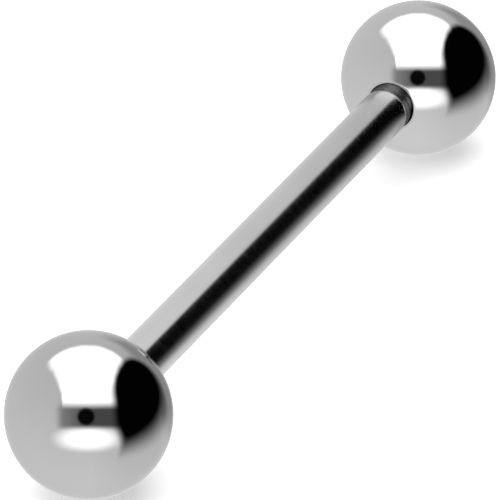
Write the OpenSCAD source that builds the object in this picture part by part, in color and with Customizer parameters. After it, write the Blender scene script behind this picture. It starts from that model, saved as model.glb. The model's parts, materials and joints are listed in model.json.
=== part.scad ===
// Straight piercing barbell: a polished round bar with a ball screwed on each end.
// Millimetres. The bar lies along X with its middle at the origin, and +Z is up.

/* [Balls] */
// Diameter of each ball
ball_d = 5.2; // [4.6:0.1:8]
// Length between the balls, from one hole's mouth to the other
wear_l = 22; // [12:1:32]

/* [Bar] */
// Diameter of the polished shaft
bar_d = 1.6; // [1.2:0.1:2]
// Chamfer round each end of the shaft
shoulder_chamfer = 0.06; // [0.02:0.02:0.12]
// Thread that stays in sight between the shaft and each ball
bare_thread_l = 0.5; // [0.2:0.1:1]

/* [Thread] */
// Length of the threaded stud on each end of the shaft
stud_l = 3.4; // [2.4:0.1:3.6]
// Distance from one crest to the next
pitch = 0.35; // [0.3:0.05:0.4]
// How much smaller across the crests are than the shaft
crest_step = 0.04; // [0.02:0.02:0.1]
// Height of a crest above the root
thread_h = 0.2; // [0.15:0.01:0.22]
// Distance from the shoulder to the middle of the first root
first_root = 0.07; // [0.06:0.01:0.12]
// Chamfer round the end of the stud
tip_chamfer = 0.12; // [0.06:0.02:0.18]

/* [Hole] */
// Gap between the crests and the wall of the hole, on the radius
hole_gap = 0.03; // [0.02:0.01:0.06]
// Width of the chamfer round the mouth of the hole
mouth_chamfer = 0.07; // [0.04:0.01:0.12]
// Room between the end of the stud and the floor of the hole
end_gap = 0.35; // [0.2:0.05:0.5]

/* [Hidden] */
$fn = 96;

// Width of the flat at each root, as a share of the pitch
root_share = 1 / 4;
// Angle at the point of the drill that cut the hole
drill_angle = 118;
// How far a cutting or joining shape runs on past the face that it meets,
// which is more than the height of the cap that the hole's mouth takes off the ball
lap = 0.5;

bar_r = bar_d / 2;
ball_r = ball_d / 2;
crest_r = bar_r - crest_step / 2;
root_r = crest_r - thread_h;
hole_r = crest_r + hole_gap;
mouth_r = hole_r + mouth_chamfer;

// Where the shaft ends, the hole begins and the ball has its centre, along +X
shoulder_x = wear_l / 2 - bare_thread_l;
mouth_x = wear_l / 2;
ball_x = mouth_x + sqrt(ball_r * ball_r - mouth_r * mouth_r);
hole_l = stud_l - bare_thread_l + end_gap;
drill_point_l = hole_r / tan(drill_angle / 2);

root_flat = root_share * pitch;
turns = floor((stud_l - tip_chamfer - first_root) / pitch);

// One sharp ridge of the thread, as [radius, distance from the shoulder]
function ridge(root_middle) = [
    [root_r, root_middle + root_flat / 2],
    [crest_r, root_middle + pitch / 2],
    [root_r, root_middle + pitch - root_flat / 2]
];

// The polished length of the bar, chamfered at both ends
module shaft() {
    straight_l = 2 * (shoulder_x - shoulder_chamfer);
    rotate([0, 90, 0]) {
        cylinder(r = bar_r, h = straight_l, center = true);
        for (side = [0, 1])
            mirror([0, 0, side])
                translate([0, 0, straight_l / 2])
                    cylinder(r1 = bar_r, r2 = bar_r - shoulder_chamfer, h = shoulder_chamfer);
    }
}

// The threaded stud on the +X end. Its ridges are rings, which stand for the turns of the screw.
module stud() {
    ridges = [for (turn = [0:turns - 1]) each ridge(first_root + turn * pitch)];
    core = [[0, -lap], [root_r, -lap]];
    tip = [[root_r, stud_l - tip_chamfer], [root_r - tip_chamfer, stud_l], [0, stud_l]];
    translate([shoulder_x, 0, 0])
        rotate([0, 90, 0])
            rotate_extrude()
                polygon(concat(core, ridges, tip));
}

// The whole bar is one piece of metal
module bar() {
    color("silver") {
        shaft();
        stud();
        mirror([1, 0, 0]) stud();
    }
}

// The blind hole of a ball, cut from its mouth outward along +X
module hole() {
    rotate([0, 90, 0]) {
        translate([0, 0, -lap])
            cylinder(r = hole_r, h = lap + hole_l);
        translate([0, 0, hole_l])
            cylinder(r1 = hole_r, r2 = 0, h = drill_point_l);
        translate([0, 0, -lap])
            cylinder(r1 = mouth_r + lap, r2 = hole_r, h = lap + mouth_chamfer);
    }
}

// The ball on the +X end of the bar
module screw_ball() {
    difference() {
        translate([ball_x, 0, 0]) sphere(r = ball_r);
        translate([mouth_x, 0, 0]) hole();
    }
}

module left_ball() {
    color("gainsboro") mirror([1, 0, 0]) screw_ball();
}

module right_ball() {
    color("gainsboro") screw_ball();
}

bar();
left_ball();
right_ball();
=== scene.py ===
"""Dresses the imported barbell: a mirror-polished steel bar with a ball screwed on each end.

The part lies on a pale floor inside a white light tent. Blender's units are metres, and sizes
in millimetres are multiplied by MM. The bar lies along X, and every skin is turned round it.
"""

import json
import math

import bmesh
import bpy
from mathutils import Matrix, Vector


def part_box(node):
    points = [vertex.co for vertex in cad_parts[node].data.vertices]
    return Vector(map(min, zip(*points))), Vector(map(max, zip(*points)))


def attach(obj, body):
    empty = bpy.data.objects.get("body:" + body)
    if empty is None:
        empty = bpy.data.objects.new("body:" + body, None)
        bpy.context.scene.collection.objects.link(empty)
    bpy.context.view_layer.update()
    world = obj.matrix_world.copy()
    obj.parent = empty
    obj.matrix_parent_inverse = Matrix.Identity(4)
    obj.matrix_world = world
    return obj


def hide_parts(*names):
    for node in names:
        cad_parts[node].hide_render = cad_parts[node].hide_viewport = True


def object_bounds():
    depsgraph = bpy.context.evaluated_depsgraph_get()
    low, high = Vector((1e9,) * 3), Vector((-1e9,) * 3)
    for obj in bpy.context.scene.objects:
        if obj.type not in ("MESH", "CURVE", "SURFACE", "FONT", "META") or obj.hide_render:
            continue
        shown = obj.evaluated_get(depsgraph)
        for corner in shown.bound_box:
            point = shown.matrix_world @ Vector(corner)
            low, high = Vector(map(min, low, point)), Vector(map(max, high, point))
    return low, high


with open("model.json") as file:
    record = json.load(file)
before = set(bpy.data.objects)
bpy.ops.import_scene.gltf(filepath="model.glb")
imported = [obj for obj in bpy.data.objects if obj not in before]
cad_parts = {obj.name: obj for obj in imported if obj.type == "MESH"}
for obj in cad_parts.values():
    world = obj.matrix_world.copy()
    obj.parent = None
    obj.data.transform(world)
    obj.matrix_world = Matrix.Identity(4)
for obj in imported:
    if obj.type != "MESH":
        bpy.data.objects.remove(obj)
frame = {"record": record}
CAD_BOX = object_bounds()

MM = 0.001
MICRON = 0.000001

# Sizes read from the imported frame
BALL_LOW, BALL_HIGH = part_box("right_ball")
STUD_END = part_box("bar")[1].x
BAR_R = frame["record"]["mounts"][0]["dims"]["r_mm"] * MM
BALL_R = BALL_HIGH.z
MOUTH_X = BALL_LOW.x

# Sizes that the solids share with this script
BARE_THREAD = 0.5 * MM
CREST_R = 0.78 * MM
ROOT_R = 0.58 * MM
PITCH = 0.35 * MM
TIP_CHAMFER = 0.12 * MM
HOLE_R = 0.81 * MM
HOLE_LENGTH = 3.25 * MM
MOUTH_CHAMFER = 0.07 * MM
DRILL_ANGLE = math.radians(118)

# Sizes of the fine forms that the skins add
ROOT_FLAT = 0.08 * MM
CREST_FLAT = 0.04 * MM
THREAD_FILLET = 0.02 * MM
THREAD_FADE = 0.1 * MM
TAP_R = 0.79 * MM
TAP_DEPTH = 0.1 * MM
SHOULDER_LENGTH = 0.16 * MM
SHOULDER_DEPTH = 0.03 * MM
SHOULDER_FILLET = 0.15 * MM
END_FILLET = 0.03 * MM
RIM_R = 0.89 * MM
RIM_TILT = math.radians(12)
RIM_FILLET = 0.5 * MM
EDGE_FILLET = 0.03 * MM

# Where round the bar the thread starts, as a share of a turn
THREAD_START = 0.84
# How many turns before its start the thread's rows begin, which leaves no gap as they climb
LEAD_IN = 2

SHOULDER_X = MOUTH_X - BARE_THREAD
STUD_LENGTH = STUD_END - SHOULDER_X
MOUTH_R = HOLE_R + MOUTH_CHAMFER
MOUTH_ANGLE = math.asin(MOUTH_R / BALL_R)
BALL_X = MOUTH_X + BALL_R * math.cos(MOUTH_ANGLE)

# How finely the skins are divided
SEGMENTS = 192
BALL_RINGS = 128
SHAFT_RINGS = 8
THREAD_STEPS = 2
SHOULDER_STEPS = 4
MOUTH_STEPS = 6

# How near its ends the thread joins the rings there, how near points become one, and the angle
# from which an edge shows as sharp
SNAP = 0.004 * MM
WELD = SNAP / 10
CREASE = math.radians(35)

# The finishes, as places in a piece's list of materials
POLISHED = 0
# Faces with this finish take the cut steel, whose dark tone is painted shade in threads and holes
CUT_SHADED = 1
TURNED = 2


def soft_step(start, end, value):
    """0 before start and 1 past end, with a smooth rise between. start may be the larger."""
    share = min(max((value - start) / (end - start), 0), 1)
    return share * share * (3 - 2 * share)


def rounded(corners, steps):
    """The line through corners of (x, radius, fillet), with each inner corner turned into an arc."""
    line = [Vector(corners[0][:2])]
    for before, corner, after in zip(corners, corners[1:], corners[2:]):
        here = Vector(corner[:2])
        fillet = corner[2]
        back = (Vector(before[:2]) - here).normalized()
        ahead = (Vector(after[:2]) - here).normalized()
        half = back.angle(ahead) / 2
        centre = here + (back + ahead).normalized() * fillet / math.sin(half)
        start = here + back * fillet / math.tan(half) - centre
        turn = math.copysign(math.pi - 2 * half, ahead.cross(back))
        for step in range(steps + 1):
            spoke = start.copy()
            spoke.rotate(Matrix.Rotation(turn * step / steps, 2))
            line.append(centre + spoke)
    line.append(Vector(corners[-1][:2]))
    return line


class Skin:
    """A skin turned round the X axis, built from ring to ring."""

    def __init__(self):
        self.points = []
        self.faces = []
        self.finishes = []

    def point(self, x, radius, column):
        angle = 2 * math.pi * column / SEGMENTS
        self.points.append((x, radius * math.cos(angle), radius * math.sin(angle)))
        return len(self.points) - 1

    def ring(self, x, radius):
        return [self.point(x, radius, column) for column in range(SEGMENTS)]

    def face(self, corners, finish):
        """Adds a face that names each corner once, unless too few are left."""
        corners = list(dict.fromkeys(corners))
        if len(corners) > 2:
            self.faces.append(corners)
            self.finishes.append(finish)

    def wall(self, ring, line, finish):
        """Goes on from a ring through each (x, radius) of a line, and returns the last ring."""
        for x, radius in line:
            following = self.ring(x, radius)
            for column in range(SEGMENTS):
                beside = (column + 1) % SEGMENTS
                around = [ring[column], ring[beside], following[beside], following[column]]
                self.face(around, finish)
            ring = following
        return ring

    def cap(self, ring, x, finish):
        """Closes the skin between a ring and the place x on the axis."""
        pole = self.point(x, 0, 0)
        for column in range(SEGMENTS):
            self.face([ring[column], ring[(column + 1) % SEGMENTS], pole], finish)

    def screw(self, ring, start, length, end_radius, profile, radius_at, finish):
        """Goes on from a ring through a right-hand thread, and returns the last ring.

        profile is one pitch of the thread as (distance, radius), and each of its points becomes
        a row that climbs one pitch a turn. radius_at(past, radius) trims it near the ends.
        """
        last = self.ring(start + length, end_radius)
        made = {}

        def corner(row, column):
            if column == SEGMENTS:
                row, column = row + len(profile), 0
            if (row, column) not in made:
                turn, step = divmod(row, len(profile))
                distance, radius = profile[step]
                turns = turn - LEAD_IN + THREAD_START + column / SEGMENTS
                past = turns * PITCH + distance
                if past < SNAP:
                    made[row, column] = ring[column]
                elif past > length - SNAP:
                    made[row, column] = last[column]
                else:
                    made[row, column] = self.point(start + past, radius_at(past, radius), column)
            return made[row, column]

        turns_made = LEAD_IN + 1 + math.ceil(length / PITCH)
        for row in range(len(profile) * turns_made):
            for column in range(SEGMENTS):
                beside = column + 1
                around = [(row, column), (row, beside), (row + 1, beside), (row + 1, column)]
                self.face([corner(*place) for place in around], finish)
        return last


def thread_profile(root_r, crest_r):
    """One pitch of a thread, from the middle of a root to just before the next."""
    root = ROOT_FLAT / 2
    crest = CREST_FLAT / 2
    corners = [
        (0, root_r, 0),
        (root, root_r, THREAD_FILLET),
        (PITCH / 2 - crest, crest_r, THREAD_FILLET),
        (PITCH / 2 + crest, crest_r, THREAD_FILLET),
        (PITCH - root, root_r, THREAD_FILLET),
        (PITCH, root_r, 0),
    ]
    return rounded(corners, THREAD_STEPS)[:-1]


def half_bar():
    """The bar from its middle to the end of the stud at +X."""
    skin = Skin()
    shaft_end = SHOULDER_X - SHOULDER_LENGTH
    shaft = [(shaft_end * step / SHAFT_RINGS, BAR_R) for step in range(1, SHAFT_RINGS)]
    corners = [
        (shaft_end - SHOULDER_LENGTH, BAR_R, 0),
        (shaft_end, BAR_R, SHOULDER_FILLET),
        (SHOULDER_X, BAR_R - SHOULDER_DEPTH, END_FILLET),
        (SHOULDER_X, ROOT_R, 0),
    ]
    shoulder = rounded(corners, SHOULDER_STEPS)
    # The polish ends in the middle of the first arc
    polish_end = 2 + SHOULDER_STEPS // 2
    ring = skin.wall(skin.ring(0, BAR_R), shaft + shoulder[:polish_end], POLISHED)
    ring = skin.wall(ring, shoulder[polish_end:], TURNED)

    tip_r = ROOT_R - TIP_CHAMFER

    def stud_radius(past, radius):
        height = (radius - ROOT_R) * soft_step(0, THREAD_FADE, past)
        return min(ROOT_R + height, tip_r + STUD_LENGTH - past)

    profile = thread_profile(ROOT_R, CREST_R)
    ring = skin.screw(ring, SHOULDER_X, STUD_LENGTH, tip_r, profile, stud_radius, CUT_SHADED)
    skin.cap(ring, STUD_END, CUT_SHADED)
    return skin


def ball():
    """The ball at +X, with its tapped hole."""
    skin = Skin()
    rim_angle = math.asin(RIM_R / BALL_R)
    rim_x = BALL_X - BALL_R * math.cos(rim_angle)
    edge_x = rim_x - (RIM_R - TAP_R) * math.tan(RIM_TILT)
    bore_start = edge_x + 2 * EDGE_FILLET
    bore_length = MOUTH_X + HOLE_LENGTH - bore_start
    turn = (math.pi - rim_angle) / BALL_RINGS
    angles = [rim_angle + turn * step for step in range(1, BALL_RINGS)]
    sphere = [(BALL_X - BALL_R * math.cos(a), BALL_R * math.sin(a)) for a in angles]
    corners = [
        (bore_start, TAP_R, 0),
        (edge_x, TAP_R, EDGE_FILLET),
        (rim_x, RIM_R, RIM_FILLET),
        (*sphere[0], 0),
    ]
    mouth = rounded(corners, MOUTH_STEPS)
    # The polish starts just before the middle of the second arc
    polish_start = 2 + MOUTH_STEPS + MOUTH_STEPS // 2
    inner = skin.ring(*mouth[0])
    edge = skin.wall(inner, mouth[1:polish_start], TURNED)
    rim = skin.wall(edge, mouth[polish_start:], POLISHED)
    skin.cap(skin.wall(rim, sphere[1:], POLISHED), BALL_X + BALL_R, POLISHED)

    def bore_radius(past, radius):
        ends = soft_step(0, THREAD_FADE, past) * soft_step(0, PITCH, bore_length - past)
        return TAP_R + (radius - TAP_R) * ends

    profile = thread_profile(TAP_R, TAP_R + TAP_DEPTH)
    bottom = skin.screw(inner, bore_start, bore_length, TAP_R, profile, bore_radius, CUT_SHADED)
    skin.cap(bottom, MOUTH_X + HOLE_LENGTH + TAP_R / math.tan(DRILL_ANGLE / 2), CUT_SHADED)
    return skin


def piece(name, skins, body, node, materials):
    """Makes one piece of metal from skins, each given with the turn about Z that places it."""
    work = bmesh.new()
    for skin, turn in skins:
        placing = Matrix.Rotation(turn, 3, "Z")
        points = [work.verts.new(placing @ Vector(point)) for point in skin.points]
        for corners, finish in zip(skin.faces, skin.finishes):
            work.faces.new([points[corner] for corner in corners]).material_index = finish
    bmesh.ops.remove_doubles(work, verts=work.verts, dist=WELD)
    bmesh.ops.delete(work, geom=[v for v in work.verts if not v.link_faces], context="VERTS")
    bmesh.ops.recalc_face_normals(work, faces=work.faces)
    mesh = bpy.data.meshes.new(name)
    work.to_mesh(mesh)
    work.free()
    mesh.shade_smooth()
    mesh.set_sharp_from_angle(angle=CREASE)
    for material in materials:
        mesh.materials.append(material)
    made = bpy.data.objects.new(name, mesh)
    bpy.context.scene.collection.objects.link(made)
    shading = made.modifiers.new("Even shading", "WEIGHTED_NORMAL")
    shading.keep_sharp = True
    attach(made, body)
    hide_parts(node)
    return made


# About how wide the broadest smudges of tone are; on the polished bar they are partly painted
# reflection
SMUDGE_AND_SHEEN = 24 * MM
# The values between which nearly all of the noise lies, and how many finer layers it has
NOISE_LOW = 0.3
NOISE_HIGH = 0.7
NOISE_DETAIL = 4
# Half a cell keeps the bar's axis in the middle of the noise's cells
HALF_CELL = 0.5
# Turns the blur of an anisotropic shader by a right angle
QUARTER_TURN = 0.25


def steel(name, tone, roughness, scratch, stretch, depth, edge=0.85, grain=0, smudge_and_sheen_start=0):
    """Bare steel. tone and roughness are each a lowest and a highest value.

    scratch is about the width of the broadest marks, stretch how much longer they run round the
    bar than along it, and depth how deep they are. edge is how bright the steel stays at a
    glancing angle, as a share of a plain mirror's edge. grain is how much more the steel blurs
    along the bar than round it. The last argument picks the stretch of noise that the smudges
    follow; on the polished bar it and tone are set so the smudges make the bar lighter towards
    -X, a painted reflection on top of the steel's random tone.
    """
    material = bpy.data.materials.new(name)
    material.use_nodes = True
    nodes = material.node_tree.nodes
    link = material.node_tree.links.new
    shader = nodes["Principled BSDF"]
    shader.inputs["Metallic"].default_value = 1
    shader.inputs["Specular Tint"].default_value = (edge, edge, edge, 1)
    shader.inputs["Anisotropic"].default_value = grain
    shader.inputs["Anisotropic Rotation"].default_value = QUARTER_TURN
    around = nodes.new("ShaderNodeTangent")
    around.direction_type = "RADIAL"
    around.axis = "X"
    link(around.outputs["Tangent"], shader.inputs["Tangent"])
    place = nodes.new("ShaderNodeTexCoord").outputs["Object"]

    def marks(width, stretched, start):
        across = 1 / width / stretched
        scaled = nodes.new("ShaderNodeMapping")
        scaled.inputs["Location"].default_value = (start, HALF_CELL, HALF_CELL)
        scaled.inputs["Scale"].default_value = (1 / width, across, across)
        link(place, scaled.inputs["Vector"])
        noise = nodes.new("ShaderNodeTexNoise")
        noise.inputs["Scale"].default_value = 1
        noise.inputs["Detail"].default_value = NOISE_DETAIL
        link(scaled.outputs["Vector"], noise.inputs["Vector"])
        return noise.outputs["Fac"]

    def spread(noise, lowest, highest):
        ranged = nodes.new("ShaderNodeMapRange")
        ranged.inputs["From Min"].default_value = NOISE_LOW
        ranged.inputs["From Max"].default_value = NOISE_HIGH
        ranged.inputs["To Min"].default_value = lowest
        ranged.inputs["To Max"].default_value = highest
        link(noise, ranged.inputs["Value"])
        return ranged.outputs["Result"]

    scratches = marks(scratch, stretch, 0)
    link(spread(marks(SMUDGE_AND_SHEEN, 1, smudge_and_sheen_start), *tone), shader.inputs["Base Color"])
    link(spread(scratches, *roughness), shader.inputs["Roughness"])

    bump = nodes.new("ShaderNodeBump")
    bump.inputs["Strength"].default_value = 1
    bump.inputs["Distance"].default_value = depth
    link(scratches, bump.inputs["Height"])
    link(bump.outputs["Normal"], shader.inputs["Normal"])
    return material


def polished_bar_steel():
    # tone and the smudges' start make the bar lighter towards -X: painted reflection as well as
    # random tone
    return steel(
        "polished_bar_steel",
        tone=(0.36, 0.7),
        roughness=(0.09, 0.16),
        scratch=0.04 * MM,
        stretch=12,
        depth=0.015 * MICRON,
        edge=1,
        grain=1,
        smudge_and_sheen_start=19,
    )


def polished_ball_steel():
    return steel(
        "polished_ball_steel",
        tone=(0.49, 0.64),
        roughness=(0.03, 0.06),
        scratch=0.12 * MM,
        stretch=1,
        depth=0.02 * MICRON,
        smudge_and_sheen_start=25,
    )


def cut_steel_painted_shade():
    """The steel of the threads and of the drilled hole, made dark as painted shade in the gap and
    the hole.
    """
    return steel(
        "cut_steel_painted_shade",
        tone=(0.06, 0.1),
        roughness=(0.22, 0.36),
        scratch=0.03 * MM,
        stretch=8,
        depth=1 * MICRON,
    )


def turned_steel():
    """The satin steel of the shaft's shoulders and of the holes' rims."""
    return steel(
        "turned_steel",
        tone=(0.5, 0.56),
        roughness=(0.24, 0.32),
        scratch=0.02 * MM,
        stretch=20,
        depth=0.5 * MICRON,
    )


def barbell():
    """The bar and its two balls."""
    bar_steel = polished_bar_steel()
    ball_steel = polished_ball_steel()
    # The cut steel's dark tone is painted shade on the threads and in the holes
    shaded_cut_steel = cut_steel_painted_shade()
    turned = turned_steel()
    half = half_bar()
    halves = [(half, 0), (half, math.pi)]
    piece("bar_metal", halves, "bar", "bar", [bar_steel, shaded_cut_steel, turned])
    end = ball()
    for side, turn in {"right": 0, "left": math.pi}.items():
        node = side + "_ball"
        steels = [ball_steel, shaded_cut_steel, turned]
        piece(node + "_metal", [(end, turn)], node, node, steels)


# The camera: its heading turns from +X towards +Y, its dip is below the horizon, and it looks
# at AIM. LENS and SENSOR are in Blender's own millimetres.
HEADING = math.radians(23.188)
DIP = math.radians(25.967)
DISTANCE = 243.05 * MM
AIM = Vector((-0.298, 0.291, -0.335)) * MM
LENS = 545.65
SENSOR = 36
# How many times nearer and farther than AIM the camera still sees
CLIP_SHARE = 10


def camera():
    """The camera at the photograph's angle."""
    looking = Vector(
        (
            math.cos(DIP) * math.cos(HEADING),
            math.cos(DIP) * math.sin(HEADING),
            -math.sin(DIP),
        )
    )
    data = bpy.data.cameras.new("camera")
    data.lens = LENS
    data.sensor_width = SENSOR
    data.clip_start = DISTANCE / CLIP_SHARE
    data.clip_end = DISTANCE * CLIP_SHARE
    made = bpy.data.objects.new("camera", data)
    made.location = AIM - looking * DISTANCE
    made.rotation_euler = (math.pi / 2 - DIP, 0, HEADING - math.pi / 2)
    bpy.context.scene.collection.objects.link(made)
    bpy.context.scene.camera = made
    return made


# The light tent. Its glow is given by direction in degrees as seen from the part, azimuth to the
# right of the camera and elevation above it, and 1 is as bright as white paper. A fade is where a
# panel starts to show and where it shows whole.
TENT_RADIUS = 3.0
TENT_COLUMNS = 360
TENT_ROWS = 180

# The walls, and how their light changes to the right, towards the camera and downward
WALL = 0.88
WALL_RIGHTWARD = -0.16
WALL_FORWARD = -0.05
WALL_DOWNWARD = 0.1

# The ceiling, and the elevation of its edge at each azimuth
CEILING = 2.2
CEILING_FADE = 5
CEILING_EDGE = [
    (-180, 71.5),
    (-150, 68.5),
    (-130, 62),
    (-110, 52),
    (-75, 51),
    (-60, 46),
    (-50, 39.5),
    (-40, 29.5),
    (-36, 18),
    (-33, 0),
    (33, 0),
    (100, 54),
    (120, 62),
    (140, 68),
    (180, 71.5),
]

# The shaded part of the wall, at the right and behind the part
SHADE = {"left": (110, 128), "right": (180, 155), "low": (-14, 3), "high": (54, 38)}
SHADE_LIGHT = 0.42

# The panel below the camera, as bright as the ceiling
LOW_PANEL = {"centre": (0, -31.5), "reach": (40, 14), "fade": (1.6, 0.45)}

# The dim slot that the camera looks through. Its light changes from SLOT_LEFT to SLOT_RIGHT
# between the two azimuths of SLOT_FALL.
SLOT = {"left": (-48, -32), "right": (52, 44), "low": (-21, -11.5), "high": (21, 7)}
SLOT_LEFT = 0.34
SLOT_RIGHT = 0.10
SLOT_FALL = (-40, 5)

# The camera's dark lens in the slot
LENS_HOLE = {"centre": (-2.35, -1.55), "reach": (11.5, 11.5), "fade": (1.2, 0.8)}
LENS_GLASS = 0.004

# The black card's brightness, and its corners, clockwise. Each is azimuth, elevation, and how
# far the edge that starts there fades inside and outside the card.
CARD = 0.001
CARD_CORNERS = [
    (36, -10, 7, 7),
    (35, 18, 7, 7),
    (36, 30, 6, 6),
    (42, 40, 4, 4),
    (54, 50.5, 4, 4),
    (76, 58, 4, 4),
    (104, 58, 4, 4),
    (126, 49, 5, 5),
    (137, 32, 7, 9),
    (137, 16, 10, 22),
    (112, -10, 12, 23),
    (58, -40, 7, 7),
]
# The higher this is, the less the card's corners are rounded
CORNER_BITE = 6
# How far inside and outside the card an edge still counts, in shares of its fade
INSIDE = -2
OUTSIDE = 3


def ceiling_edge(azimuth):
    """The elevation at which the ceiling starts."""
    for (left, low), (right, high) in zip(CEILING_EDGE, CEILING_EDGE[1:]):
        if left <= azimuth <= right:
            return low + (high - low) * (azimuth - left) / (right - left)


def box_cover(azimuth, elevation, left, right, low, high):
    """How far a panel with four soft sides covers a direction, from 0 to 1."""
    across = soft_step(*left, azimuth) * soft_step(*right, azimuth)
    return across * soft_step(*low, elevation) * soft_step(*high, elevation)


def round_cover(azimuth, elevation, centre, reach, fade):
    """The same for a round panel, whose fade is given in shares of its reach."""
    across = (azimuth - centre[0]) / reach[0]
    upward = (elevation - centre[1]) / reach[1]
    return soft_step(*fade, math.hypot(across, upward))


def card_cover(azimuth, elevation):
    """The same for the black card, from how far out through its edges a direction lies."""
    total = 0
    for corner, following in zip(CARD_CORNERS, CARD_CORNERS[1:] + CARD_CORNERS[:1]):
        from_az, from_el, inner, outer = corner
        along = Vector((following[0] - from_az, following[1] - from_el)).normalized()
        past = Vector((azimuth - from_az, elevation - from_el)).dot(Vector((-along.y, along.x)))
        share = min(max((past + inner) / (inner + outer), INSIDE), OUTSIDE)
        total += math.exp(CORNER_BITE * share)
    return 1 - soft_step(0, 1, math.log(total) / CORNER_BITE)


def glow(azimuth, elevation):
    """How brightly the tent glows in one direction."""
    flat = math.cos(math.radians(elevation))
    rightward = math.sin(math.radians(azimuth)) * flat
    forward = math.cos(math.radians(azimuth)) * flat
    downward = -math.sin(math.radians(elevation))
    light = WALL + WALL_RIGHTWARD * max(rightward, 0) + WALL_FORWARD * forward
    light += WALL_DOWNWARD * downward
    light += (SHADE_LIGHT - light) * box_cover(azimuth, elevation, **SHADE)
    ceiling = soft_step(-CEILING_FADE, CEILING_FADE, elevation - ceiling_edge(azimuth))
    light += (CEILING - light) * ceiling
    light += (CEILING - light) * round_cover(azimuth, elevation, **LOW_PANEL)
    slot_light = SLOT_LEFT + (SLOT_RIGHT - SLOT_LEFT) * soft_step(*SLOT_FALL, azimuth)
    light += (slot_light - light) * box_cover(azimuth, elevation, **SLOT)
    light += (LENS_GLASS - light) * round_cover(azimuth, elevation, **LENS_HOLE)
    return light + (CARD - light) * card_cover(azimuth, elevation)


def tent_cloth():
    """Cloth that glows as brightly as its mesh says."""
    material = bpy.data.materials.new("tent_cloth")
    material.use_nodes = True
    nodes = material.node_tree.nodes
    link = material.node_tree.links.new
    nodes.remove(nodes["Principled BSDF"])
    lamp = nodes.new("ShaderNodeEmission")
    brightness = nodes.new("ShaderNodeAttribute")
    brightness.attribute_name = "glow"
    link(brightness.outputs["Fac"], lamp.inputs["Strength"])
    link(lamp.outputs["Emission"], nodes["Material Output"].inputs["Surface"])
    return material


def light_tent(camera_turn):
    """A dome that lights the part and shows in its polish, but not to the camera."""
    points = []
    glows = []
    for row in range(TENT_ROWS + 1):
        for column in range(TENT_COLUMNS + 1):
            azimuth = -180 + 360 * column / TENT_COLUMNS
            elevation = 90 - 180 * row / TENT_ROWS
            a = math.radians(azimuth)
            e = math.radians(elevation)
            way = Vector((math.sin(a) * math.cos(e), math.sin(e), math.cos(a) * math.cos(e)))
            points.append(camera_turn @ way * TENT_RADIUS)
            glows.append(glow(azimuth, elevation))
    faces = []
    for row in range(TENT_ROWS):
        for column in range(TENT_COLUMNS):
            first = row * (TENT_COLUMNS + 1) + column
            below = first + TENT_COLUMNS + 1
            faces.append((first, first + 1, below + 1, below))
    mesh = bpy.data.meshes.new("light_tent")
    mesh.from_pydata(points, [], faces)
    mesh.attributes.new("glow", "FLOAT", "POINT").data.foreach_set("value", glows)
    mesh.materials.append(tent_cloth())
    tent = bpy.data.objects.new("light_tent", mesh)
    tent.visible_camera = False
    bpy.context.scene.collection.objects.link(tent)


WHITE = (1, 1, 1, 1)

# The floor is a translucent pale board, and FLOOR_GLOW comes through it from below
FLOOR_RADIUS = 0.8
FLOOR_SEGMENTS = 96
FLOOR_TONE = (0.86, 0.86, 0.86, 1)
FLOOR_ROUGHNESS = 0.9
FLOOR_GLOW = 0.4


def floor():
    """The pale floor that the balls rest on, which doesn't show in their polish."""
    mesh = bpy.data.meshes.new("floor")
    work = bmesh.new()
    bmesh.ops.create_circle(work, cap_ends=True, segments=FLOOR_SEGMENTS, radius=FLOOR_RADIUS)
    work.to_mesh(mesh)
    work.free()
    material = bpy.data.materials.new("floor_board")
    material.use_nodes = True
    shader = material.node_tree.nodes["Principled BSDF"]
    shader.inputs["Base Color"].default_value = FLOOR_TONE
    shader.inputs["Roughness"].default_value = FLOOR_ROUGHNESS
    shader.inputs["Emission Color"].default_value = WHITE
    shader.inputs["Emission Strength"].default_value = FLOOR_GLOW
    mesh.materials.append(material)
    made = bpy.data.objects.new("floor", mesh)
    made.location.z = CAD_BOX[0].z
    made.visible_glossy = False
    bpy.context.scene.collection.objects.link(made)


def backdrop():
    """White all round the floor, which lights nothing."""
    world = bpy.data.worlds.new("backdrop")
    bpy.context.scene.world = world
    world.use_nodes = True
    world.node_tree.nodes["Background"].inputs["Color"].default_value = WHITE
    world.cycles_visibility.diffuse = False
    world.cycles_visibility.glossy = False


barbell()
view = camera()
light_tent(view.rotation_euler.to_matrix())
floor()
backdrop()
bpy.context.scene.view_settings.view_transform = "Standard"
